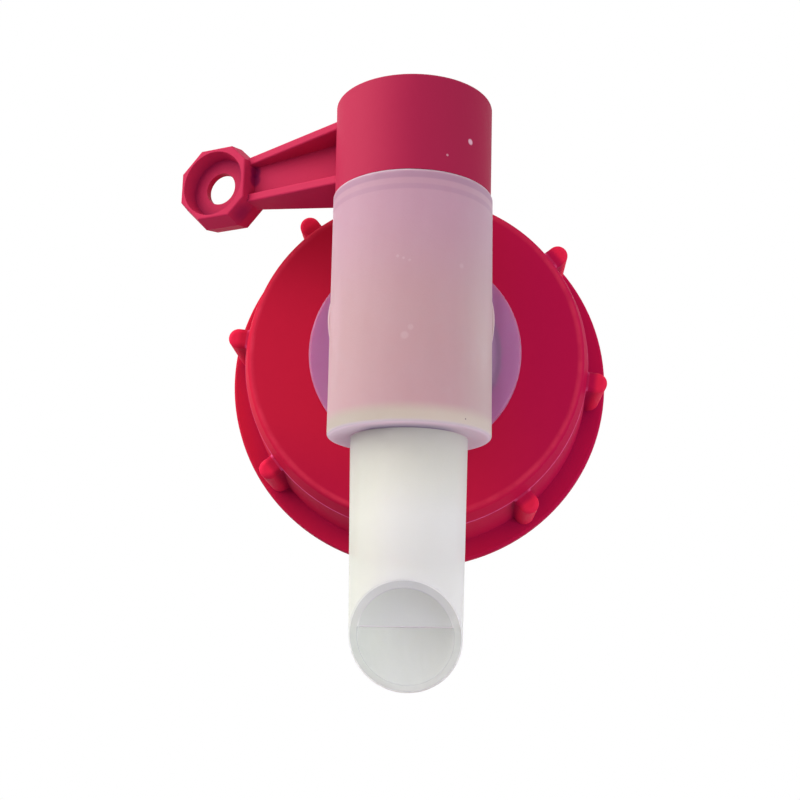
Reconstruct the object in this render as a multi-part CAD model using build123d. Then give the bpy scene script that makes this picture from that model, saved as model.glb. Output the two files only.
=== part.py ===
"""Jerrycan tap: a screw cap for a 61 mm can neck that carries a quarter-turn plug tap.

Millimetres. The origin is the centre of the cap's open rim, on the cap's axis.
+Y runs along the cap's axis into the can, +Z is up along the barrel, +X is to the right
of someone who faces the can. The tap is shown closed, with its lever turned to the left.
"""

from build123d import *
from math import asin, cos, degrees, hypot, radians, sin, sqrt, tan
import os

# Cap: a moulded nut with a flange, lugs for grip, and a hole for the tap's neck
flange_radius = 37.25
flange_thickness = 2.2
flange_draft = 0.25
flange_edge_round = 0.5
flange_overhang = 3.95
cap_depth = 21.9
cap_front_wall = 2.0
cap_side_wall = 2.55
cap_side_draft = 1.45
cap_bevel_width = 0.9
cap_bevel_depth = 4.4
cap_face_round = 1.0
cap_bevel_round = 0.6
thread_wall_length = 15.6
gasket_pocket_step = 0.55
neck_hole_radius = 16.0

# Lugs round the cap
lug_count = 8
lug_first_angle = 38.0
lug_reach = 4.1
lug_nose_radius = 1.9
lug_root_fillet = 0.8
lug_setback = 4.1
lug_edge_round = 1.0

# Tap body: barrel, spout, neck and collar, one moulding
barrel_to_rim = 42.3
barrel_top = 21.3
barrel_bottom = -20.4
barrel_bore_radius = 11.7
barrel_wall = 1.8
barrel_flare = 0.15
barrel_floor_thickness = 1.8
barrel_bottom_round = 0.6
barrel_top_round = 0.3
spout_root_radius = 9.63
spout_draft = 1.1
spout_wall = 1.4
spout_cut_drop = 52.5
spout_cut_angle = 43.1
spout_divider_thickness = 1.3
spout_divider_recess = 1.8
neck_outer_radius = 14.0
neck_bore_radius = 11.4
neck_root_fillet = 1.8
collar_radius = 19.5
collar_thickness = 1.4
collar_edge_round = 0.4
neck_seat_radius = 15.0
neck_running_gap = 0.08
neck_divider_height = 2.7
neck_divider_thickness = 1.3

# Ports through the barrel and the plug
port_radius = 10.0
port_width = 12.6

# Retaining flange, snapped on the neck behind the cap's front wall
retainer_rim_gap = 0.3
retainer_thickness = 2.0
retainer_hub_thickness = 2.5
retainer_hub_width = 3.5
seat_gap = 0.05
barb_height = 0.5
barb_length = 1.45
barb_lead = 0.9

# Seals
gasket_rim_gap = 0.2
gasket_width = 4.8
gasket_thickness = 2.0
neck_ring_section = 1.6
neck_ring_squeeze = 0.3
neck_ring_groove_width = 1.8
neck_ring_edge_round = 0.55

# Clearances between faces that slide, and how far joined forms sink into each other
face_gap = 0.1
plug_running_gap = 0.06
join_sink = 0.4
same_place = 0.01

# Plug with its knob, one moulding with the lever
plug_wall = 1.85
plug_floor_gap = 0.25
knob_step = 0.3
knob_flare = 0.2
knob_height = 16.8
knob_top_wall = 2.2
knob_edge_round = 0.35
plug_web_thickness = 1.3
air_window_width = 8.0
air_window_height = 5.0
port_angle = 0.0

# Snap bead and the groove that holds it
bead_height = 0.45
bead_width = 1.1
bead_gap = 0.1
bead_below_rim = 2.5

# Stop rib on the plug and its recess in the barrel's mouth
plug_turn = 90.0
stop_rib_depth = 0.85
stop_rib_height = 1.2
stop_rib_width = 2.0
stop_rib_angle = 45.0
stop_gap = 0.1

# Lever
lever_angle = 158.0
lever_height_above_axis = 29.8
lever_root_width = 11.1
lever_root_height = 11.5
lever_root_rise = 0.37
lever_tip_width = 4.25
lever_tip_height = 8.7
lever_tip_rise = 0.12
lever_web = 1.3
lever_flange_tip = 1.55
lever_flange_draft = 0.1
lever_edge_round = 0.3
lever_root_sink = 2.0

# Eye at the lever's end
eye_reach = 39.0
eye_across = 13.5
eye_parting_growth = 0.75
eye_thickness = 7.1
eye_inner_flat = 7.4
eye_mouth_radius = 6.2
eye_floor_radius = 5.65
eye_web = 1.3
eye_hole_radius = 3.05
eye_edge_round = 0.3

# Places worked out from the sizes above
barrel_y = -barrel_to_rim
barrel_bottom_radius = barrel_bore_radius + barrel_wall
barrel_top_radius = barrel_bottom_radius + barrel_flare
knob_bottom_radius = barrel_top_radius - knob_step
knob_top_radius = knob_bottom_radius + knob_flare
cap_back_radius = flange_radius - flange_overhang
cap_front_radius = cap_back_radius - cap_side_draft
thread_wall_radius = cap_back_radius - cap_side_wall
gasket_pocket_radius = thread_wall_radius - gasket_pocket_step
retainer_radius = gasket_pocket_radius - retainer_rim_gap
retainer_hub_radius = neck_seat_radius + retainer_hub_width
gasket_radius = gasket_pocket_radius - gasket_rim_gap
gasket_inner_radius = gasket_radius - gasket_width
lug_tip_radius = cap_front_radius + lug_reach
lug_length = cap_depth - lug_setback
cap_face_y = -cap_depth
cap_bevel_end_y = cap_face_y + cap_bevel_depth
cap_bevel_end_radius = cap_front_radius + cap_side_draft * cap_bevel_depth / (cap_depth - flange_thickness)
pocket_end_y = -thread_wall_length
cap_inner_face_y = cap_face_y + cap_front_wall
collar_back_y = cap_face_y - face_gap
collar_front_y = collar_back_y - collar_thickness
retainer_front_y = cap_inner_face_y + face_gap
retainer_back_y = retainer_front_y + retainer_thickness
hub_back_y = retainer_front_y + retainer_hub_thickness
barb_front_y = hub_back_y + seat_gap
neck_end_y = barb_front_y + barb_length
neck_journal_radius = neck_hole_radius - neck_running_gap
plug_radius = barrel_bore_radius - plug_running_gap
plug_core_radius = plug_radius - plug_wall
barrel_floor = barrel_bottom + barrel_floor_thickness
plug_bottom = barrel_floor + plug_floor_gap
knob_bottom = barrel_top + face_gap
knob_top = knob_bottom + knob_height
ring_groove_y = (retainer_front_y + hub_back_y) / 2
ring_groove_radius = neck_seat_radius + seat_gap - (neck_ring_section - neck_ring_squeeze)


def about_cap_axis(*outline):
    """A ring round the cap's axis, from outline points given as (radius, y)."""
    return revolve(make_face(Polyline(*outline, close=True)), Axis.Y)


def about_barrel_axis(*outline):
    """A ring round the barrel's axis, from outline points given as (radius, z)."""
    face = make_face(Plane.XZ * Polyline(*outline, close=True))
    return Pos(0, barrel_y, 0) * revolve(face, Axis.Z)


def barrel_cylinder(radius, low, high):
    """A plain cylinder on the barrel's axis between two heights."""
    return Pos(0, barrel_y, low) * extrude(Circle(radius), high - low)


def cap_cylinder(radius, front, back):
    """A plain cylinder on the cap's axis between two depths."""
    return Pos(0, front, 0) * Rot(-90, 0, 0) * extrude(Circle(radius), back - front)


def edges_near(shape, test):
    """The edges of a shape whose middle point passes a test."""
    return [edge for edge in shape.edges() if test(edge @ 0.5)]


# Cap
def lug_outline():
    """One lug seen along the cap's axis, pointing to +X: a round nose on straight flanks.

    Each flank ends in a hollow arc that runs out on the cap's wall.
    """
    half = lug_nose_radius
    nose_centre = lug_tip_radius - lug_nose_radius
    arc_centre_y = half + lug_root_fillet
    reach = cap_front_radius + lug_root_fillet
    arc_centre_x = sqrt(reach**2 - arc_centre_y**2)
    on_wall = cap_front_radius / reach
    foot = (arc_centre_x * on_wall, arc_centre_y * on_wall)
    diagonal = lug_root_fillet / sqrt(2)
    through = (arc_centre_x - diagonal, arc_centre_y - diagonal)
    start = (arc_centre_x, half)
    inner_x = (thread_wall_radius + cap_front_radius) / 2

    def mirrored(point):
        return point[0], -point[1]

    outline = [
        ThreePointArc(mirrored(start), mirrored(through), mirrored(foot)),
        Line(mirrored(foot), (inner_x, -foot[1])),
        Line((inner_x, -foot[1]), (inner_x, foot[1])),
        Line((inner_x, foot[1]), foot),
        ThreePointArc(foot, through, start),
        Line(start, (nose_centre, half)),
        ThreePointArc((nose_centre, half), (lug_tip_radius, 0), (nose_centre, -half)),
        Line((nose_centre, -half), mirrored(start)),
    ]
    return make_face(outline)


def make_cap():
    shell = about_cap_axis(
        (neck_hole_radius, cap_face_y),
        (cap_front_radius - cap_bevel_width, cap_face_y),
        (cap_bevel_end_radius, cap_bevel_end_y),
        (cap_back_radius, -flange_thickness),
        (flange_radius - flange_draft, -flange_thickness),
        (flange_radius, 0),
        (thread_wall_radius, 0),
        (thread_wall_radius, pocket_end_y),
        (gasket_pocket_radius, pocket_end_y),
        (gasket_pocket_radius, cap_inner_face_y),
        (neck_hole_radius, cap_inner_face_y),
    )
    front_edge = edges_near(
        shell,
        lambda p: abs(p.Y - cap_face_y) < same_place and hypot(p.X, p.Z) > neck_hole_radius + same_place,
    )
    shell = fillet(front_edge, cap_face_round)
    bevel_end = edges_near(shell, lambda p: abs(p.Y - cap_bevel_end_y) < same_place)
    shell = fillet(bevel_end, cap_bevel_round)
    rim_edges = edges_near(
        shell, lambda p: hypot(p.X, p.Z) > flange_radius - flange_draft - same_place
    )
    shell = fillet(rim_edges, flange_edge_round)

    lug_bar = extrude(lug_outline(), lug_length - flange_thickness / 2)
    lug = Pos(0, -lug_length, 0) * Rot(-90, 0, 0) * lug_bar
    front_edges = edges_near(
        lug,
        lambda p: abs(p.Y + lug_length) < same_place and hypot(p.X, p.Z) > cap_front_radius,
    )
    lug = fillet(front_edges, lug_edge_round)
    for number in range(lug_count):
        shell += Rot(0, -(lug_first_angle + number * 360 / lug_count), 0) * lug
    return shell


# Tap body
def port_outline():
    """The port seen along its axis: a circle with its two sides cut straight."""
    return Circle(port_radius) & Rectangle(port_width, 2 * port_radius)


def port_cutter(length):
    """The port's outline carried along +Y from the barrel's axis."""
    return Pos(0, barrel_y, 0) * Rot(-90, 0, 0) * extrude(port_outline(), length)


def spout_radius(z):
    """The spout's outer radius at a height, with its draft."""
    return spout_root_radius - (barrel_bottom - z) * tan(radians(spout_draft))


def spout_end():
    """The height of the spout's longest side, at the back of its slanted cut."""
    slope = tan(radians(spout_cut_angle))
    return -(spout_cut_drop + spout_root_radius * slope)


def below_spout_cut():
    """Everything under the slanted cut of the spout."""
    size = 8 * spout_root_radius
    block = Box(size, size, size, align=(Align.CENTER, Align.CENTER, Align.MAX))
    return Pos(0, barrel_y, -spout_cut_drop) * Rot(-spout_cut_angle, 0, 0) * block


def make_body():
    low = spout_end()
    outside = about_barrel_axis(
        (0, barrel_top),
        (barrel_top_radius, barrel_top),
        (barrel_bottom_radius, barrel_bottom),
        (spout_root_radius, barrel_bottom),
        (spout_radius(low), low),
        (0, low),
    )
    bottom_edge = edges_near(
        outside,
        lambda p: abs(p.Z - barrel_bottom) < same_place
        and hypot(p.X, p.Y - barrel_y) > spout_root_radius + same_place,
    )
    outside = fillet(bottom_edge, barrel_bottom_round)
    top_edge = edges_near(outside, lambda p: abs(p.Z - barrel_top) < same_place)
    outside = fillet(top_edge, barrel_top_round)

    neck = cap_cylinder(neck_outer_radius, barrel_y, collar_back_y)
    neck += about_cap_axis(
        (0, collar_front_y),
        (collar_radius, collar_front_y),
        (collar_radius, collar_back_y),
        (neck_journal_radius, collar_back_y),
        (neck_journal_radius, retainer_front_y),
        (neck_seat_radius, retainer_front_y),
        (neck_seat_radius, barb_front_y),
        (neck_seat_radius + barb_height, barb_front_y),
        (neck_seat_radius + barb_height, neck_end_y - barb_lead),
        (neck_seat_radius - barb_height, neck_end_y),
        (0, neck_end_y),
    )
    root = edges_near(
        neck,
        lambda p: abs(p.Y - collar_front_y) < same_place
        and hypot(p.X, p.Z) < neck_outer_radius + same_place,
    )
    neck = fillet(root, neck_root_fillet)
    collar_edges = edges_near(neck, lambda p: hypot(p.X, p.Z) > collar_radius - same_place)
    neck = fillet(collar_edges, collar_edge_round)
    neck -= about_cap_axis(
        (ring_groove_radius, ring_groove_y - neck_ring_groove_width / 2),
        (neck_seat_radius + neck_ring_section, ring_groove_y - neck_ring_groove_width / 2),
        (neck_seat_radius + neck_ring_section, ring_groove_y + neck_ring_groove_width / 2),
        (ring_groove_radius, ring_groove_y + neck_ring_groove_width / 2),
    )
    body = outside + neck

    neck_bore_start = barrel_y + barrel_bottom_radius
    neck_bore = cap_cylinder(neck_bore_radius, neck_bore_start, neck_end_y)
    barrel_bore = barrel_cylinder(barrel_bore_radius, barrel_floor, barrel_top)
    spout_bore = about_barrel_axis(
        (0, barrel_floor),
        (spout_radius(barrel_floor) - spout_wall, barrel_floor),
        (spout_radius(low) - spout_wall, low),
        (0, low),
    )
    port = port_cutter(neck_bore_start - barrel_y)
    body -= neck_bore + port
    divider = Pos(0, (barrel_y + neck_end_y) / 2, neck_divider_height) * Box(
        2 * neck_bore_radius, neck_end_y - barrel_y, neck_divider_thickness
    )
    body += divider & cap_cylinder(neck_bore_radius + join_sink, barrel_y, neck_end_y)
    body -= barrel_bore

    body -= spout_bore
    partition_end = spout_divider_recess - spout_cut_drop
    partition = Pos(0, barrel_y, (barrel_floor + partition_end) / 2) * Box(
        2 * spout_root_radius, spout_divider_thickness, barrel_floor - partition_end
    )
    inside_spout = about_barrel_axis(
        (0, barrel_floor),
        (spout_radius(barrel_floor) - spout_wall + join_sink, barrel_floor),
        (spout_radius(low) - spout_wall + join_sink, low),
        (0, low),
    )
    body += partition & inside_spout
    body -= below_spout_cut()

    groove = barrel_cylinder(
        plug_radius + bead_height + bead_gap,
        barrel_top - bead_below_rim - bead_width / 2 - bead_gap,
        barrel_top - bead_below_rim + bead_width / 2 + bead_gap,
    )
    body -= groove
    body -= stop_recess()
    return body


def sector(radius, height, start, sweep):
    """A slice of a disc on the barrel's axis, from a start angle round by a sweep."""
    middle = radians(start + sweep / 2)
    points = [(0, 0), (radius * cos(radians(start)), radius * sin(radians(start)))]
    through = (radius * cos(middle), radius * sin(middle))
    last = (radius * cos(radians(start + sweep)), radius * sin(radians(start + sweep)))
    outline = [Line(*points), ThreePointArc(points[1], through, last), Line(last, points[0])]
    return extrude(make_face(outline), height)


def stop_recess():
    """The slot in the barrel's mouth that the plug's stop rib sweeps through."""
    radius = plug_radius + stop_rib_depth + stop_gap
    half_rib = degrees(asin((stop_rib_width / 2 + stop_gap) / plug_radius))
    depth = stop_rib_height + stop_gap
    slice_ = sector(radius, depth, stop_rib_angle - half_rib, plug_turn + 2 * half_rib)
    return Pos(0, barrel_y, barrel_top - depth) * slice_


# Plug, knob and lever
def lever_section(width, height):
    """An I-section: two flanges with draft on their inner faces, joined by a mid web."""
    half_w = width / 2
    half_h = height / 2
    half_web = lever_web / 2
    tip = half_h - lever_flange_tip
    root = tip - lever_flange_draft
    quarter = [(half_w, half_h), (half_w, tip), (half_web, root)]
    lower = [(x, -z) for x, z in reversed(quarter)]
    right = quarter + lower
    left = [(-x, z) for x, z in reversed(right)]
    return make_face(Polyline(*right, *left, close=True))


def eye_outline(across):
    """The eye's octagon, with a longer flat on the side of the lever (-X)."""
    half = across / 2
    short = half * tan(radians(22.5))
    inner = eye_inner_flat / 2
    top = [(half, short), (short, half), (-inner, half), (-half, inner)]
    bottom = [(x, -y) for x, y in reversed(top)]
    return make_face(Polyline(*top, *bottom, close=True))


def make_lever():
    """The lever along +X from the barrel's axis, at its own height."""
    knob_radius = (knob_bottom_radius + knob_top_radius) / 2
    root_x = knob_radius - lever_root_sink
    tip_x = eye_reach - eye_across / 2
    per_mm = 1 / (tip_x - knob_radius)
    width_slope = (lever_tip_width - lever_root_width) * per_mm
    height_slope = (lever_tip_height - lever_root_height) * per_mm
    rise_slope = (lever_tip_rise - lever_root_rise) * per_mm

    def section(x):
        width = lever_root_width + (x - knob_radius) * width_slope
        height = lever_root_height + (x - knob_radius) * height_slope
        rise = lever_root_rise + (x - knob_radius) * rise_slope
        plane = Plane(origin=(x, 0, rise), x_dir=(0, 1, 0), z_dir=(1, 0, 0))
        return plane * lever_section(width, height)

    end_x = tip_x + (eye_across / 2 - eye_mouth_radius) / 2
    arm = loft([section(root_x), section(end_x)], ruled=True)
    middle_x = (root_x + end_x) / 2
    flange_edges = edges_near(
        arm, lambda p: abs(p.X - middle_x) < same_place and abs(p.Y) > lever_web
    )
    arm = fillet(flange_edges, lever_edge_round)

    def eye_section(offset, across):
        plane = Plane(origin=(eye_reach, offset, 0), x_dir=(1, 0, 0), z_dir=(0, -1, 0))
        return plane * eye_outline(across)

    half = eye_thickness / 2
    grown = eye_across + 2 * eye_parting_growth
    front = loft([eye_section(-half, eye_across), eye_section(0, grown)], ruled=True)
    back = loft([eye_section(0, grown), eye_section(half, eye_across)], ruled=True)
    eye = front + back
    rim_edges = edges_near(eye, lambda p: abs(p.Y) > half - same_place)
    lever = arm + fillet(rim_edges, eye_edge_round)

    recess_depth = (eye_thickness - eye_web) / 2
    recess = extrude_cone(eye_mouth_radius, eye_floor_radius, recess_depth)
    for side in (0, 180):
        lever -= Pos(eye_reach, 0, 0) * Rot(0, 0, side) * Pos(0, -half, 0) * Rot(-90, 0, 0) * recess
    hole = extrude(Circle(eye_hole_radius), eye_thickness)
    lever -= Pos(eye_reach, -half, 0) * Rot(-90, 0, 0) * hole
    return lever


def extrude_cone(low_radius, high_radius, height):
    """A cut cone standing on the XY plane."""
    return Cone(low_radius, high_radius, height, align=(Align.CENTER, Align.CENTER, Align.MIN))


def make_plug():
    bead_z = barrel_top - bead_below_rim
    bead_radius = plug_radius + bead_height
    plug = about_barrel_axis(
        (0, plug_bottom),
        (plug_radius, plug_bottom),
        (plug_radius, bead_z - bead_width / 2),
        (bead_radius, bead_z - bead_width / 4),
        (bead_radius, bead_z + bead_width / 4),
        (plug_radius, bead_z + bead_width / 2),
        (plug_radius, knob_bottom),
        (knob_bottom_radius, knob_bottom),
        (knob_top_radius, knob_top),
        (0, knob_top),
    )
    top_edge = edges_near(plug, lambda p: abs(p.Z - knob_top) < same_place)
    plug = fillet(top_edge, knob_edge_round)
    lever = Pos(0, barrel_y, lever_height_above_axis) * Rot(0, 0, lever_angle) * make_lever()
    plug += lever
    rib = Pos(plug_radius - join_sink, 0, 0) * Box(
        stop_rib_depth + join_sink,
        stop_rib_width,
        stop_rib_height,
        align=(Align.MIN, Align.CENTER, Align.MAX),
    )
    plug += Pos(0, barrel_y, knob_bottom) * Rot(0, 0, stop_rib_angle) * rib

    core = barrel_cylinder(plug_core_radius, plug_bottom, knob_top - knob_top_wall)
    web = Pos(0, barrel_y, (plug_bottom + knob_top) / 2) * Rot(0, 0, port_angle) * Box(
        plug_web_thickness, 2 * plug_radius, knob_top - plug_bottom
    )
    plug -= core - web
    turned = Pos(0, barrel_y, 0) * Rot(0, 0, port_angle - 90) * Pos(0, -barrel_y, 0)
    plug -= turned * port_cutter(barrel_bore_radius)
    air_window = Pos(0, barrel_y, 0) * Rot(0, 0, port_angle) * Pos(
        0, 0, neck_divider_height + neck_divider_thickness / 2 + air_window_height / 2
    ) * Box(3 * plug_web_thickness, air_window_width, air_window_height)
    plug -= air_window
    return plug


# Retaining flange and seals
def make_retainer():
    bore = neck_seat_radius + seat_gap
    return about_cap_axis(
        (bore, retainer_front_y),
        (retainer_radius, retainer_front_y),
        (retainer_radius, retainer_back_y),
        (retainer_hub_radius, retainer_back_y),
        (retainer_hub_radius, hub_back_y),
        (bore, hub_back_y),
    )


def make_gasket():
    front = retainer_back_y + face_gap
    return about_cap_axis(
        (gasket_inner_radius, front),
        (gasket_radius, front),
        (gasket_radius, front + gasket_thickness),
        (gasket_inner_radius, front + gasket_thickness),
    )


def make_neck_ring():
    """A rubber ring squeezed between the groove's floor and the retaining flange's bore."""
    height = neck_ring_section - neck_ring_squeeze - seat_gap
    width = neck_ring_groove_width - 2 * seat_gap
    middle = ring_groove_radius + seat_gap / 2 + height / 2
    face = Pos(middle, ring_groove_y) * RectangleRounded(height, width, neck_ring_edge_round)
    return revolve(face, Axis.Y)


parts = {
    "cap_nut": make_cap(),
    "tap_body": make_body(),
    "plug_with_lever": make_plug(),
    "retaining_flange": make_retainer(),
    "mouth_gasket": make_gasket(),
    "neck_seal_ring": make_neck_ring(),
}

os.makedirs("parts", exist_ok=True)
for name, solid in parts.items():
    export_step(solid, f"parts/{name}.step")
    print(name, "solids", len(solid.solids()), "volume", round(solid.volume, 1))
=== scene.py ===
"""Jerrycan tap: the look of its red cap and plug, its milky barrel and spout, and its seals.

Lengths are in metres.
"""

from math import cos, pi, sin

import bmesh
import bpy
import numpy as np
from mathutils import Matrix, Vector


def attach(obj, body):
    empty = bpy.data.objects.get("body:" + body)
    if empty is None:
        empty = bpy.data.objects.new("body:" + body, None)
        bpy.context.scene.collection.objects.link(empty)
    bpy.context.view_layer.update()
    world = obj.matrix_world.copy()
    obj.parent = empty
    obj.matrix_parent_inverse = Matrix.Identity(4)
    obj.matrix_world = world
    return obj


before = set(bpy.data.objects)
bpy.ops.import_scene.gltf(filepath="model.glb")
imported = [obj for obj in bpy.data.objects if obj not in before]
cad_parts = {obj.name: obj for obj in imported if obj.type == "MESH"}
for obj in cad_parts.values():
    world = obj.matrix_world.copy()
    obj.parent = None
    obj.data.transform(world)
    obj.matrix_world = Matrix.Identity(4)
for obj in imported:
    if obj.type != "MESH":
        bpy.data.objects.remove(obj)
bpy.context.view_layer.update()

# Camera, solved from the circles and edges of the photograph
camera_place = Vector((0.007827, -0.234285, -0.060217))
camera_yaw = -0.049
camera_pitch = 0.237
camera_roll = 0.019
camera_lens = 53.916
sensor_width = 36.0

# Light and floor
key_place = Vector((-0.72, -0.32, 0.40))
key_size = 1.00
key_power = 9.0
key_colour = (1.0, 0.97, 0.95)
fill_place = Vector((0.48, -0.42, -0.26))
fill_size = 0.35
fill_power = 2.1
fill_colour = (0.90, 0.92, 1.0)
lamp_aim = Vector((0, -0.02, 0))
sky_colour = (0.70, 0.70, 0.74)
ground_colour = (0.56, 0.52, 0.62)
ground_height = -0.5
sky_height = 0.4
floor_height = -0.13
floor_half_width = 8.0
floor_colour = (0.9, 0.9, 0.9)
floor_bounce_colour = (0.31, 0.28, 0.38)
floor_shadow_reach = 0.26
floor_white_reach = 0.50
floor_shadow_share = 0.25

# Colours of the red cap
# Painted shade for the corners and recesses of the red parts
corner_shade_red = (0.24, 0.003, 0.065, 1)
# Painted light and shade: the cap's red is lighter on the left, where the light falls, and more purple on the
# right, in the barrel's shade
cap_red_lit_left = (0.62, 0.0140, 0.046, 1)
cap_red_shaded_right = (0.53, 0.0070, 0.062, 1)
# Painted shade for the cap's lower left
cap_red_shaded_below = (0.44, 0.0060, 0.048, 1)
# Painted light: the lugs are a lighter, more orange red than the rest of the cap
lug_lit_red = (0.86, 0.0200, 0.070, 1)
bevel_pink = (0.82, 0.12, 0.30, 1)
# Painted highlight along the rounded edge of the cap's face
face_edge_highlight_pink = (0.80, 0.05, 0.10, 1)

# Colours of the red plug
# Painted light and shade: the knob's red is lighter on the left, where the light falls, and darker on the
# right
knob_red_lit_left = (0.48, 0.024, 0.072, 1)
knob_red_shaded_right = (0.37, 0.015, 0.058, 1)
# Painted light: the lever is a lighter red than the knob
lever_lit_red = (0.58, 0.025, 0.084, 1)
nook_red = (0.16, 0.001, 0.060, 1)
# Pale specks on the plug, and one painted highlight
plug_speck_glint_pink = (0.85, 0.55, 0.62, 1)

# Colours of the barrel
# Painted light: the barrel's pink is lighter on the right than on the left, and paler still on its right side
barrel_pink_left = (0.58, 0.375, 0.365, 1)
barrel_pink_lit_right = (0.62, 0.385, 0.375, 1)
barrel_cloud = (0.62, 0.42, 0.44, 1)
barrel_lit_side = (0.62, 0.49, 0.44, 1)
barrel_high = (0.58, 0.33, 0.45, 1)
rim_band_mauve = (0.36, 0.20, 0.30, 1)
# Painted highlight on the barrel's top lip
lip_highlight_pink = (0.74, 0.58, 0.68, 1)
# Painted light: the cream of the barrel's floor is lighter on the right
floor_cream_left = (0.54, 0.48, 0.39, 1)
floor_cream_lit_right = (0.70, 0.60, 0.49, 1)
# Painted highlight on the heel's left, and painted shade on its right
heel_lit_left = (0.95, 0.78, 0.86, 1)
heel_shaded_right = (0.66, 0.52, 0.60, 1)
# Painted light on the barrel's underside, more of it on the left
underside_lit_left = (1.0, 0.74, 0.76, 1)
underside_lit_right = (0.84, 0.64, 0.66, 1)
# Painted shade in the crease beside the spout's root
crease_shade_grey = (0.30, 0.26, 0.34, 1)
# Pale specks on the tap body, and one painted highlight
body_speck_glint_white = (0.95, 0.85, 0.92, 1)
dark_speck_brown = (0.25, 0.18, 0.20, 1)

# Colours of the spout
# Painted light and shade: the spout's cream is darker on the left and lighter on the right
spout_cream_shaded_left = (0.70, 0.74, 0.61, 1)
spout_cream_lit_right = (1.0, 1.0, 0.81, 1)
spout_cloud = (0.90, 0.92, 0.74, 1)
# Painted shadow of the barrel on the spout's root
spout_root_shadow_grey = (0.50, 0.49, 0.44, 1)
# Painted light and shade inside the bore: lighter in front of the inner wall, darker behind and below it
mouth_lit_front = (1.0, 1.0, 0.90, 1)
mouth_shaded_rear = (0.56, 0.61, 0.58, 1)
# Painted light and shade on the ring of the spout's end: lighter in front, darker behind
ring_lit_front = (1.0, 1.0, 0.84, 1)
ring_shaded_rear = (0.58, 0.63, 0.56, 1)
# Painted shadow along the inner wall that splits the spout
divider_shadow_pink = (0.80, 0.66, 0.71, 1)

# Colours of the neck and its collar
collar_lilac = (0.66, 0.34, 0.62, 1)
collar_lilac_cloud = (0.70, 0.38, 0.66, 1)
# Painted highlight on the collar's rim
collar_edge_highlight = (0.80, 0.50, 0.72, 1)
collar_shade = (0.46, 0.22, 0.42, 1)
neck_milk = (0.80, 0.76, 0.72, 1)

# Places on the plug
knob_left_x = -0.0129
eye_right_x = -0.0300

# Places on the tap body
barrel_y = -0.0423
barrel_top = 0.0213
barrel_bottom = -0.0204
barrel_floor_low = -0.0190
barrel_floor_high = -0.0168
barrel_middle_radius = 0.0125
barrel_radius = 0.0135
spout_root_radius = 0.00963
spout_taper = 0.0192
spout_wall = 0.0014
spout_bore_radius = spout_root_radius - spout_wall
mouth_start_z = -0.0200
mouth_full_z = -0.0300
divider_half = 0.0007
divider_end = -0.0505
neck_tint_start_y = -0.0424
neck_tint_full_y = -0.0370
collar_front_y = -0.0235
collar_inner_radius = 0.0158
collar_radius = 0.0195

# Places on the cap
cap_bevel_y = -0.0175
cap_bevel_radius = 0.0318
cap_wall_radius = 0.0327
cap_face_y = -0.0219
cap_face_edge_radius = 0.0303
lug_back_y = -0.0023

# Where a shade changes along an axis: from, to
cap_shade_x = (-0.012, 0.034)
cap_shade_low_z = (-0.030, -0.010)
cap_shade_left_x = (-0.014, 0.004)
knob_shade_x = (-0.010, 0.004)
barrel_right_x = (-barrel_radius, 0.009)
barrel_lit_side_x = (0.006, barrel_radius)
barrel_high_z = (-0.004, 0.018)
spout_light_x = (-0.0110, -0.0010)
spout_shadow_z = (barrel_bottom - 0.0150, barrel_bottom + 0.0010)
ring_shade_y = (barrel_y - 0.0080, barrel_y + 0.0010)
collar_right_x = (0.0, 0.0040)
collar_beside_x = (0.0150, 0.0172)

# Where the spout's opacity changes: from, to
spout_thin_z = (-0.0430, -0.0330)
spout_dense_x = (0.0020, 0.0080)
spout_dense_z = (-0.0440, -0.0260)

# Opacities of the tap body
inner_opacity = 0.30
wall_opacity = 0.56
streak_opacity = 0.04
floor_opacity = 0.86
spout_inner_opacity = 0.44
spout_wall_opacity = 0.36
spout_right_opacity = 0.08
spout_low_opacity = -0.14
spout_end_opacity = 0.06
divider_opacity = 0.15
neck_opacity = 0.42
collar_rim_opacity = -0.05
behind_cap_opacity = 0.35

# Bands near the barrel's rim: height, half width, depth
rim_bands = (
    (0.0203, 0.00035, 0.40),
    (0.0183, 0.00030, 0.22),
)

# Pale specks, and one painted highlight in each list: centre, radius, strength
plug_specks_and_glint = (
    ((0.00974, -0.05158, 0.02794), 0.00032, 0.75),
    ((0.00599, -0.05434, 0.02433), 0.00014, 0.40),
    # Painted highlight on the lever's top ridge beside the knob
    ((-0.01378, -0.0470, 0.0326), 0.00045, 0.45),
)
body_specks_and_glint = (
    ((-0.0004, -0.05584, -0.00664), 0.00040, 0.12),
    ((0.00051, -0.05584, -0.00534), 0.00030, 0.10),
    ((-0.00174, -0.05577, 0.00639), 0.00016, 0.14),
    ((-0.0008, -0.05585, 0.00605), 0.00014, 0.14),
    ((0.00018, -0.05588, 0.00569), 0.00014, 0.12),
    ((0.00839, -0.05298, 0.00576), 0.00026, 0.10),
    # Painted highlight on the collar's edge
    ((0.0192, -0.0223, 0.0007), 0.00030, 0.80),
)

# The dark speck in the barrel's wall: centre, radius, soft edge
dark_speck = ((0.00917, -0.05221, -0.01913), 0.00008, 0.00010)

# Shaded nooks of the lever: centre, radius, strength
lever_nooks = (
    ((-0.0297, -0.0310, 0.0318), 0.0008, 0.75),
    ((-0.0297, -0.0310, 0.0302), 0.0008, 0.75),
    ((-0.0304, -0.0316, 0.0224), 0.0018, 0.60),
)

# Thread ridge inside the cap
thread_radius = 0.03075
thread_sink = 0.0002
thread_height = 0.0012
thread_base_width = 0.0024
thread_crest_width = 0.0009
thread_pitch = 0.004
thread_start_y = -0.0130
thread_turns = 2.6
thread_taper_turns = 0.22
thread_steps_per_turn = 120
thread_section_steps = 6
thread_end_share = 0.04


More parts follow.
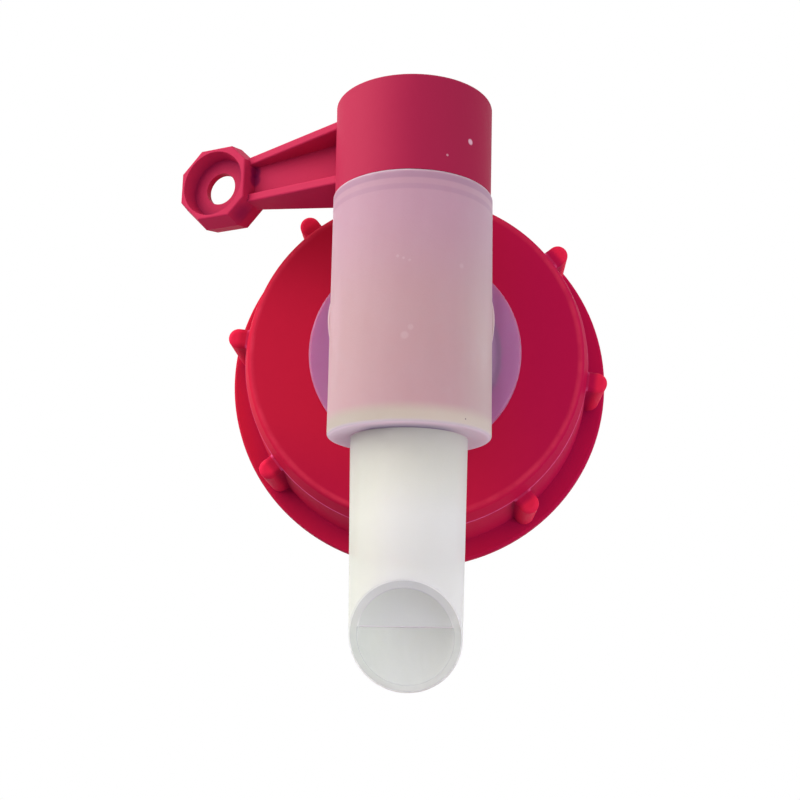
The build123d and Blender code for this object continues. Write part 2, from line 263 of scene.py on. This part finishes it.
# Camera
def make_camera():
    """A camera that looks along a yaw and a pitch, then rolls about its own line of sight."""
    forward = Vector(
        (sin(camera_yaw) * cos(camera_pitch), cos(camera_yaw) * cos(camera_pitch), sin(camera_pitch))
    )
    level = Vector((cos(camera_yaw), -sin(camera_yaw), 0))
    upright = level.cross(forward)
    right = level * cos(camera_roll) + upright * sin(camera_roll)
    up = upright * cos(camera_roll) - level * sin(camera_roll)
    data = bpy.data.cameras.new("camera")
    data.lens = camera_lens
    data.sensor_width = sensor_width
    data.clip_start = 0.005
    turned = Matrix((right, up, -forward)).transposed().to_4x4()
    camera = bpy.data.objects.new("camera", data)
    camera.matrix_world = Matrix.Translation(camera_place) @ turned
    bpy.context.scene.collection.objects.link(camera)
    bpy.context.scene.camera = camera


# Shader maths
class Channel:
    """A value or colour that varies over a surface. Sums on it add Math nodes to its shading."""

    def __init__(self, shading, socket):
        self.shading = shading
        self.socket = socket

    def __add__(self, other):
        return self.shading.math("ADD", self, other)

    def __sub__(self, other):
        return self.shading.math("SUBTRACT", self, other)

    def __rsub__(self, other):
        return self.shading.math("SUBTRACT", other, self)

    def __mul__(self, other):
        return self.shading.math("MULTIPLY", self, other)

    __radd__ = __add__
    __rmul__ = __mul__


class Shading:
    """The nodes of one node tree."""

    def __init__(self, tree):
        self.tree = tree
        self.tree.nodes.clear()

    def node(self, kind, settings, sockets):
        """Adds a node: its settings, then its sockets' values or links. Gives its outputs by name."""
        made = self.tree.nodes.new(kind)
        for name, value in settings.items():
            setattr(made, name, value)
        for name, value in sockets.items():
            if isinstance(name, int):
                socket = made.inputs[name]
            else:
                socket = next(s for s in made.inputs if s.enabled and s.name == name)
            if isinstance(value, Channel):
                self.tree.links.new(value.socket, socket)
            else:
                socket.default_value = value
        return {s.name: Channel(self, s) for s in made.outputs if s.enabled}

    def math(self, operation, first, second=0.0):
        """A Math node on one or two values."""
        return self.node("ShaderNodeMath", {"operation": operation}, {0: first, 1: second})["Value"]

    def vector(self, operation, first, second, result="Vector"):
        """A Vector Math node on two vectors."""
        return self.node("ShaderNodeVectorMath", {"operation": operation}, {0: first, 1: second})[result]

    def step(self, value, low, high, from_low=0.0, to_high=1.0):
        """A smooth step: from_low below low, to_high above high."""
        return self.node(
            "ShaderNodeMapRange",
            {"interpolation_type": "SMOOTHSTEP"},
            {"Value": value, "From Min": low, "From Max": high, "To Min": from_low, "To Max": to_high},
        )["Result"]

    def blend(self, factor, first, second):
        """The first colour where the factor is 0 and the second where it is 1."""
        return self.node(
            "ShaderNodeMix", {"data_type": "RGBA"}, {"Factor": factor, "A": first, "B": second}
        )["Result"]

    def white_where_seen(self):
        """1 for rays that see a surface directly, in a reflection or through the plastic."""
        rays = self.node("ShaderNodeLightPath", {}, {})
        seen = self.math("MAXIMUM", rays["Is Camera Ray"], rays["Is Glossy Ray"])
        return self.math("MAXIMUM", seen, rays["Is Transmission Ray"])


class Finish(Shading):
    """The nodes of one material, worked out from Object coordinates in metres."""

    def __init__(self, name):
        self.material = bpy.data.materials.new(name)
        self.material.use_nodes = True
        super().__init__(self.material.node_tree)
        self.place = self.node("ShaderNodeTexCoord", {}, {})["Object"]
        split = self.node("ShaderNodeSeparateXYZ", {}, {"Vector": self.place})
        self.x = split["X"]
        self.y = split["Y"]
        self.z = split["Z"]

    def noise(self, scale, detail=2.0, stretch=(1, 1, 1)):
        """Noise from 0 to 1 with a given number of cells in a metre, stretched along the axes."""
        place = self.vector("MULTIPLY", self.place, stretch)
        return self.node("ShaderNodeTexNoise", {}, {"Vector": place, "Scale": scale, "Detail": detail})["Fac"]

    def near(self, centre, radius, soft):
        """1 within a radius of a point, falling smoothly to 0 over a soft edge."""
        distance = self.vector("DISTANCE", self.place, centre, "Value")
        return self.step(distance, radius, radius + soft, 1.0, 0.0)

    def band(self, value, middle, half, soft):
        """1 where a value is within half of the middle, falling smoothly to 0 over a soft edge."""
        return self.step(self.math("ABSOLUTE", value - middle), half, half + soft, 1.0, 0.0)

    def off_axis(self, axis, centre=(0, 0, 0)):
        """The distance from a line along Y or Z through a centre."""
        flat = (1, 0, 1) if axis == "Y" else (1, 1, 0)
        offset = self.vector("SUBTRACT", self.place, centre)
        flattened = self.vector("MULTIPLY", offset, flat)
        return self.node("ShaderNodeVectorMath", {"operation": "LENGTH"}, {0: flattened})["Value"]

    def bump(self, height, distance):
        """A normal roughened by a height from 0 to 1 that stands for a distance in metres."""
        return self.node("ShaderNodeBump", {}, {"Height": height, "Distance": distance})["Normal"]

    def openness(self, reach):
        """1 on open surfaces, lower in the corners and recesses of the same piece."""
        return self.node(
            "ShaderNodeAmbientOcclusion", {"only_local": True, "samples": 8}, {"Distance": reach}
        )["AO"]

    def spotted(self, colour, spots, paint):
        """A colour with soft spots of paint on it. Each spot has a centre, a radius and a strength."""
        for centre, radius, strength in spots:
            colour = self.blend(self.near(centre, radius, radius) * strength, colour, paint)
        return colour

    def done(self, sockets):
        """Closes the finish with its shader and gives the material."""
        shader = self.node("ShaderNodeBsdfPrincipled", {}, sockets)["BSDF"]
        self.node("ShaderNodeOutputMaterial", {}, {"Surface": shader})
        return self.material


# Plastics
def satin_red(finish, colour, gloss, depth=1.0):
    """Closes a red finish as satin moulded polyethylene with a fine grain.

    Its corners and recesses get a painted shade, a deep purple red, by a factor that the depth gives.
    """
    grain = finish.noise(2600.0, 3.0)
    ripple = finish.noise(330.0, 2.0)
    # Painted shade: darker where the piece's own surfaces close in round a point
    corner = finish.step(finish.openness(0.006), 0.30, 0.92, 0.52, 0.0)
    return finish.done(
        {
            "Base Color": finish.blend(corner * depth, colour, corner_shade_red),
            "Roughness": 0.50 + ripple * 0.06 + grain * 0.08,
            "Specular IOR Level": gloss,
            "Normal": finish.bump(grain * 0.35 + ripple * 0.65, 0.00004),
        }
    )


def cap_red():
    """The cap's red with painted light and shade: lighter on the left and on the lugs, more purple on the
    right and darker at the lower left, with a pale parting line at the bevel and a painted highlight along
    the face's rounded edge.
    """
    finish = Finish("cap_red")
    flow = finish.noise(55.0, 3.0, (1.0, 1.0, 0.45))
    # Painted shade: more purple towards the cap's right
    purple = finish.step(finish.x + (flow - 0.5) * 0.02, *cap_shade_x)
    colour = finish.blend(purple, cap_red_lit_left, cap_red_shaded_right)
    # Painted shade: darker at the cap's lower left
    low = finish.step(finish.z, *cap_shade_low_z, 1.0, 0.0)
    left = finish.step(finish.x, *cap_shade_left_x, 1.0, 0.0)
    colour = finish.blend(low * left * 0.6, colour, cap_red_shaded_below)

    # Painted light on the lugs
    radius = finish.off_axis("Y")
    past_wall = finish.step(radius, cap_wall_radius + 0.0004, cap_wall_radius + 0.0016)
    in_lug_length = finish.step(finish.y, lug_back_y - 0.0002, lug_back_y, 1.0, 0.0)
    colour = finish.blend(past_wall * in_lug_length, colour, lug_lit_red)

    # Noise that breaks up the parting line and the painted edge highlight
    patchiness = finish.step(finish.noise(260.0, 3.0), 0.35, 0.65, 0.5, 1.0)
    at_bevel = finish.band(radius, cap_bevel_radius + 0.0002, 0.0004, 0.0002)
    bevel_line = finish.band(finish.y, cap_bevel_y, 0.00010, 0.00030) * at_bevel
    at_face = finish.step(finish.y, cap_face_y + 0.0004, cap_face_y + 0.0010, 1.0, 0.0)
    face_line = finish.band(radius, cap_face_edge_radius, 0.00010, 0.00060) * at_face
    # A pale parting line at the outer end of the bevel
    colour = finish.blend(bevel_line * patchiness * 0.9, colour, bevel_pink)
    # Painted highlight along the rounded edge of the cap's face
    colour = finish.blend(face_line * patchiness * 0.5, colour, face_edge_highlight_pink)
    return satin_red(finish, colour, 0.02)


def plug_red():
    """The plug's red, painted lighter on the knob's left and on the lever and darker on the knob's right,
    with the lever's shaded nooks, pale specks and a painted highlight.
    """
    finish = Finish("plug_red")
    flow = finish.noise(55.0, 3.0, (1.0, 1.0, 0.45))
    # Painted shade towards the knob's right
    right = finish.step(finish.x + (flow - 0.5) * 0.01, *knob_shade_x)
    colour = finish.blend(right, knob_red_lit_left, knob_red_shaded_right)
    # Painted light on the lever
    lever = finish.step(finish.x, knob_left_x - 0.001, knob_left_x, 1.0, 0.0)
    colour = finish.blend(lever, colour, lever_lit_red)
    colour = finish.spotted(colour, lever_nooks, nook_red)
    # Pale specks, and a painted highlight on the lever's ridge
    colour = finish.spotted(colour, plug_specks_and_glint, plug_speck_glint_pink)
    # The painted corner shade is deeper in the eye's recess
    eye = finish.step(finish.x, eye_right_x - 0.001, eye_right_x, 1.0, 0.0)
    return satin_red(finish, colour, 0.08, 0.65 + eye)


class BodyPlaces:
    """Where a point of the tap body lies: its radii, and masks from 0 to 1."""

    def __init__(self, finish):
        self.radius = finish.off_axis("Z", (0, barrel_y, 0))
        self.cap_radius = finish.off_axis("Y")
        self.right = finish.step(finish.x, *barrel_right_x)
        self.in_floor = finish.step(finish.z, barrel_floor_low, barrel_floor_high, 1.0, 0.0)
        self.in_spout = finish.step(finish.z, barrel_bottom - 0.0002, barrel_bottom, 1.0, 0.0)

        shell = self.radius + (barrel_bottom - finish.z) * spout_taper
        self.spout_outside = finish.step(shell, spout_root_radius - 0.0003, spout_root_radius - 0.0001)
        past_bore = finish.step(shell, spout_bore_radius + 0.0001, spout_bore_radius + 0.0002)
        self.spout_end = past_bore * (1 - self.spout_outside)
        in_bore = finish.step(shell, spout_bore_radius - 0.0004, spout_bore_radius - 0.0002, 1.0, 0.0)
        in_divider = finish.band(finish.y, barrel_y, divider_half, 0.0001)
        at_divider_end = finish.step(finish.z, divider_end - 0.0001, divider_end, 1.0, 0.0)
        self.divider_line = in_bore * in_divider * at_divider_end

        past_barrel = finish.step(self.radius, barrel_radius + 0.00018, barrel_radius + 0.00026)
        self.neck = past_barrel * finish.step(finish.y, neck_tint_start_y, neck_tint_full_y)
        self.collar_rim = finish.step(self.cap_radius, collar_radius - 0.0005, collar_radius - 0.0001)
        self.behind_cap = finish.step(finish.y, cap_face_y, cap_face_y + 0.0020)


def barrel_colour(finish, place, cloud):
    """The barrel's pink, cream where its floor begins, both painted lighter on the right, with its rim bands,
    painted highlights on its lip and heel, painted light on its underside and painted shade in the crease by
    the spout.
    """
    # Painted light: lighter towards the barrel's right
    pink = finish.blend(place.right, barrel_pink_left, barrel_pink_lit_right)
    pink = finish.blend(cloud * 0.5, pink, barrel_cloud)
    pink = finish.blend(finish.step(finish.x, *barrel_lit_side_x) * 0.7, pink, barrel_lit_side)
    pink = finish.blend(finish.step(finish.z, *barrel_high_z) * 0.5, pink, barrel_high)
    for middle, half, depth in rim_bands:
        pink = finish.blend(finish.band(finish.z, middle, half, half) * depth, pink, rim_band_mauve)
    # Painted highlight on the top lip
    lip = finish.step(finish.z, barrel_top - 0.0004, barrel_top - 0.0002)
    pink = finish.blend(lip * 0.5, pink, lip_highlight_pink)
    # Painted light: lighter towards the right
    cream = finish.blend(place.right, floor_cream_left, floor_cream_lit_right)
    colour = finish.blend(place.in_floor, pink, cream)

    # Painted highlight on the heel, lighter on the left
    low = finish.step(finish.z, barrel_bottom + 0.0002, barrel_bottom + 0.0006, 1.0, 0.0)
    heel = low * finish.step(place.radius, barrel_radius - 0.0006, barrel_radius - 0.0002)
    colour = finish.blend(heel * 0.5, colour, finish.blend(place.right, heel_lit_left, heel_shaded_right))
    # Painted light on the underside
    underside = finish.step(finish.z, barrel_bottom + 0.00003, barrel_bottom + 0.0002, 1.0, 0.0)
    colour = finish.blend(underside, colour, finish.blend(place.right, underside_lit_left, underside_lit_right))
    # Painted shade in the crease beside the spout
    beside_spout = finish.step(place.radius, spout_root_radius, barrel_radius - 0.0006, 1.0, 0.0)
    crease = underside * finish.band(finish.x, 0.0, 0.0050, 0.0050) * beside_spout
    return finish.blend(crease * 0.85, colour, crease_shade_grey)


def spout_colour(finish, place, cloud):
    """The spout's cream, painted darker on the left and lighter on the right, with painted light and shade in
    its mouth and on the ring of its end, a painted shadow along its inner wall, and the barrel's shadow
    painted on its root.
    """
    # Painted light and shade across the spout
    right = finish.step(finish.x, *spout_light_x)
    colour = finish.blend(right, spout_cream_shaded_left, spout_cream_lit_right)
    colour = finish.blend(cloud * 0.3, colour, spout_cloud)
    # Painted light and shade inside the bore near the mouth
    mouth = (1 - place.spout_outside) * finish.step(finish.z, mouth_full_z, mouth_start_z, 1.0, 0.0)
    behind_divider = finish.step(finish.y, barrel_y + 0.0003, barrel_y + 0.0009)
    below_divider = finish.step(finish.z, divider_end - 0.0004, divider_end - 0.0001, 1.0, 0.0)
    rear = finish.math("MAXIMUM", behind_divider, below_divider)
    colour = finish.blend(mouth, colour, finish.blend(rear, mouth_lit_front, mouth_shaded_rear))
    # Painted light and shade on the ring of the spout's end
    towards_rear = finish.step(finish.y, *ring_shade_y)
    colour = finish.blend(place.spout_end, colour, finish.blend(towards_rear, ring_lit_front, ring_shaded_rear))
    # Painted shadow along the inner wall
    colour = finish.blend(place.divider_line * 0.8, colour, divider_shadow_pink)
    # Painted shadow of the barrel on the spout's root
    root = finish.step(finish.z, *spout_shadow_z)
    return finish.blend(root * 0.60, colour, spout_root_shadow_grey)


def neck_colour(finish, place, cloud):
    """The lilac of the neck and its collar in front of the red cap, and plain milk behind it."""
    past_neck = finish.step(place.cap_radius, collar_inner_radius - 0.0015, collar_inner_radius)
    collar = past_neck * finish.step(finish.y, collar_front_y - 0.0005, collar_front_y)
    lilac = finish.blend(cloud, collar_lilac, collar_lilac_cloud)
    # Painted highlight on the collar's rim
    lilac = finish.blend(place.collar_rim * collar * 0.15, lilac, collar_edge_highlight)
    right = finish.step(finish.x, *collar_right_x)
    beside_barrel = finish.step(finish.x, *collar_beside_x, 1.0, 0.0)
    lilac = finish.blend(right * beside_barrel * 0.4, lilac, collar_shade)
    return finish.blend(place.behind_cap, lilac, neck_milk)


def body_opacity(finish, place, streaks):
    """How much the milky wall hides: least inside the barrel, most in its floor."""
    outside = finish.step(place.radius, barrel_middle_radius - 0.0004, barrel_middle_radius)
    barrel = inner_opacity + outside * wall_opacity + streaks * streak_opacity
    barrel = barrel + place.in_floor * (floor_opacity - barrel)

    low = finish.step(finish.z, *spout_thin_z, 1.0, 0.0)
    right = finish.step(finish.x, *spout_dense_x) * finish.step(finish.z, *spout_dense_z, 1.0, 0.0)
    spout = spout_inner_opacity + place.spout_outside * spout_wall_opacity + low * spout_low_opacity
    spout = spout + place.spout_end * spout_end_opacity + place.divider_line * divider_opacity
    spout = spout + right * place.spout_outside * spout_right_opacity

    neck = neck_opacity + place.collar_rim * collar_rim_opacity + place.behind_cap * behind_cap_opacity
    opacity = barrel + place.in_spout * (spout - barrel)
    return opacity + place.neck * (neck - opacity)


def milky_plastic():
    """Natural polyethylene: the barrel takes a pink tint from the red plug in it, the spout is cream."""
    finish = Finish("milky_plastic")
    place = BodyPlaces(finish)
    streaks = finish.noise(420.0, 3.0, (1.0, 1.0, 0.12))
    cloud = finish.noise(110.0, 2.0)
    grain = finish.noise(3000.0, 2.0)
    colour = finish.blend(
        place.in_spout, barrel_colour(finish, place, cloud), spout_colour(finish, place, cloud)
    )
    colour = finish.blend(place.neck, colour, neck_colour(finish, place, cloud))
    # Pale specks, and a painted highlight on the collar's edge
    colour = finish.spotted(colour, body_specks_and_glint, body_speck_glint_white)
    colour = finish.blend(finish.near(*dark_speck), colour, dark_speck_brown)
    return finish.done(
        {
            "Base Color": colour,
            "Roughness": 0.42 + grain * 0.12,
            "Specular IOR Level": 0.14,
            "Subsurface Weight": 0.9,
            "Subsurface Scale": 0.003,
            "Subsurface Radius": (1.0, 1.0, 0.95),
            "Alpha": body_opacity(finish, place, streaks),
            "Normal": finish.bump(grain * 0.4 + streaks * 0.6, 0.00004),
        }
    )


def milky_flange():
    """The same natural polyethylene in the thicker, matter ring behind the cap's wall."""
    finish = Finish("milky_flange")
    cloud = finish.noise(120.0, 2.0)
    grain = finish.noise(2600.0, 2.0)
    return finish.done(
        {
            "Base Color": finish.blend(cloud, (0.80, 0.79, 0.74, 1), (0.85, 0.85, 0.80, 1)),
            "Roughness": 0.45 + grain * 0.15,
            "Specular IOR Level": 0.30,
            "Alpha": 0.80 + cloud * 0.12,
            "Normal": finish.bump(grain, 0.00005),
        }
    )


def pale_foam():
    """Closed-cell foam with a skin of small cells and a few open pits."""
    finish = Finish("pale_foam")
    cells = finish.node(
        "ShaderNodeTexVoronoi", {"feature": "F1"}, {"Vector": finish.place, "Scale": 1900.0}
    )["Distance"]
    cloud = finish.noise(160.0, 3.0)
    pits = finish.step(cells, 0.05, 0.35, 0.0, 1.0)
    colour = finish.blend(cloud, (0.62, 0.61, 0.58, 1), (0.74, 0.73, 0.70, 1))
    return finish.done(
        {
            "Base Color": finish.blend(pits, (0.46, 0.45, 0.43, 1), colour),
            "Roughness": 0.85 + cloud * 0.1,
            "Specular IOR Level": 0.2,
            "Normal": finish.bump(pits, 0.00018),
        }
    )


def black_rubber():
    """Soft black rubber with a faint bloom."""
    finish = Finish("black_rubber")
    bloom = finish.noise(300.0, 4.0)
    grain = finish.noise(3500.0, 2.0)
    return finish.done(
        {
            "Base Color": finish.blend(
                finish.step(bloom, 0.4, 0.8), (0.012, 0.012, 0.013, 1), (0.05, 0.05, 0.052, 1)
            ),
            "Roughness": 0.55 + bloom * 0.2,
            "Specular IOR Level": 0.35,
            "Normal": finish.bump(grain, 0.00004),
        }
    )


def dress(node, material):
    """Gives a CAD node its finish."""
    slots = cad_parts[node].data.materials
    slots.clear()
    slots.append(material)


# Thread
def thread_surface():
    """A right-handed ridge on the cap's wall.

    A point at turn t stands at the angle 2 pi t about +Y and at the depth start + pitch t.
    Across the ridge, v runs round a trapezium from the wall to the crest and back. The ridge's
    height grows smoothly from nothing at each end over the taper.
    """
    turns = np.linspace(0.0, thread_turns, int(thread_turns * thread_steps_per_turn) + 1)
    rise = np.clip(np.minimum(turns, thread_turns - turns) / thread_taper_turns, 0.0, 1.0)
    rise = thread_end_share + (1 - thread_end_share) * rise * rise * (3 - 2 * rise)
    half_base = thread_base_width / 2
    half_crest = thread_crest_width / 2
    corners = np.array(
        [
            (-half_base, -thread_sink),
            (-half_base, 0.0),
            (-half_crest, thread_height),
            (half_crest, thread_height),
            (half_base, 0.0),
            (half_base, -thread_sink),
        ]
    )
    steps = np.linspace(0.0, 1.0, thread_section_steps, endpoint=False)
    ends = np.roll(corners, -1, axis=0)
    section = (corners[:, None] + (ends - corners)[:, None] * steps[None, :, None]).reshape(-1, 2)
    angle = 2 * pi * turns[:, None]
    inward = section[None, :, 1] * np.where(section[None, :, 1] > 0, rise[:, None], 1.0)
    radius = thread_radius - inward
    along = thread_start_y + thread_pitch * turns[:, None] + section[None, :, 0] * rise[:, None] ** 0.5
    return np.stack([radius * np.sin(angle), along, radius * np.cos(angle)], axis=-1)


def closed_tube(name, points):
    """A mesh from rows of closed sections: quads between neighbours and a cap at each end."""
    rows, columns = points.shape[:2]
    index = np.arange(rows * columns).reshape(rows, columns)
    beside = np.roll(index, -1, axis=1)
    quads = np.stack([index[:-1], beside[:-1], beside[1:], index[1:]], axis=-1).reshape(-1, 4)
    faces = quads.tolist() + [index[0, ::-1].tolist(), index[-1].tolist()]
    mesh = bpy.data.meshes.new(name)
    mesh.from_pydata(points.reshape(-1, 3).tolist(), [], faces)
    shell = bmesh.new()
    shell.from_mesh(mesh)
    bmesh.ops.recalc_face_normals(shell, faces=shell.faces)
    shell.to_mesh(mesh)
    shell.free()
    piece = bpy.data.objects.new(name, mesh)
    bpy.context.scene.collection.objects.link(piece)
    return piece


# Light and floor
def make_light(name, place, size, power, colour):
    """A square lamp aimed at the tap."""
    data = bpy.data.lights.new(name, "AREA")
    data.size = size
    data.energy = power
    data.color = colour
    lamp = bpy.data.objects.new(name, data)
    lamp.location = place
    lamp.rotation_euler = (lamp_aim - place).to_track_quat("-Z", "Y").to_euler()
    bpy.context.scene.collection.objects.link(lamp)


def make_world():
    """White where it is seen. On the tap it sheds a soft light, less of it from below."""
    world = bpy.data.worlds.new("studio")
    world.use_nodes = True
    shading = Shading(world.node_tree)
    direction = shading.node("ShaderNodeTexCoord", {}, {})["Generated"]
    height = shading.node("ShaderNodeSeparateXYZ", {}, {"Vector": direction})["Z"]
    ambient = shading.blend(
        shading.step(height, ground_height, sky_height), (*ground_colour, 1), (*sky_colour, 1)
    )
    colour = shading.blend(shading.white_where_seen(), ambient, (1, 1, 1, 1))
    light = shading.node("ShaderNodeBackground", {}, {"Color": colour, "Strength": 1.0})["Background"]
    shading.node("ShaderNodeOutputWorld", {}, {"Surface": light})
    bpy.context.scene.world = world


def make_floor():
    """A wide pale floor: white far off, and a soft shadow near the tap."""
    mesh = bpy.data.meshes.new("floor")
    w = floor_half_width
    h = floor_height
    mesh.from_pydata([(-w, -w, h), (w, -w, h), (w, w, h), (-w, w, h)], [], [(0, 1, 2, 3)])
    floor = bpy.data.objects.new("floor", mesh)
    bpy.context.scene.collection.objects.link(floor)
    finish = Finish("pale_floor")
    seen = finish.white_where_seen()
    tone = finish.blend(seen, (*floor_bounce_colour, 1), (*floor_colour, 1))
    paper = finish.node("ShaderNodeBsdfDiffuse", {}, {"Color": tone})["BSDF"]
    white = finish.node("ShaderNodeEmission", {}, {"Color": (1, 1, 1, 1), "Strength": 1.0})["Emission"]
    whiteness = finish.step(
        finish.off_axis("Z"), floor_shadow_reach, floor_white_reach, 1 - floor_shadow_share, 1.0
    )
    shown = finish.node("ShaderNodeMixShader", {}, {0: seen * whiteness, 1: paper, 2: white})["Shader"]
    finish.node("ShaderNodeOutputMaterial", {}, {"Surface": shown})
    mesh.materials.append(finish.material)
    floor.visible_shadow = False


make_camera()
make_light("key", key_place, key_size, key_power, key_colour)
make_light("fill", fill_place, fill_size, fill_power, fill_colour)
make_world()
make_floor()

cap_finish = cap_red()
dress("cap_nut", cap_finish)
dress("plug_with_lever", plug_red())
dress("tap_body", milky_plastic())
dress("retaining_flange", milky_flange())
dress("mouth_gasket", pale_foam())
dress("neck_seal_ring", black_rubber())

ridge = closed_tube("cap_thread", thread_surface())
ridge.data.materials.append(cap_finish)
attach(ridge, "cap")

bpy.context.scene.view_settings.view_transform = "Standard"
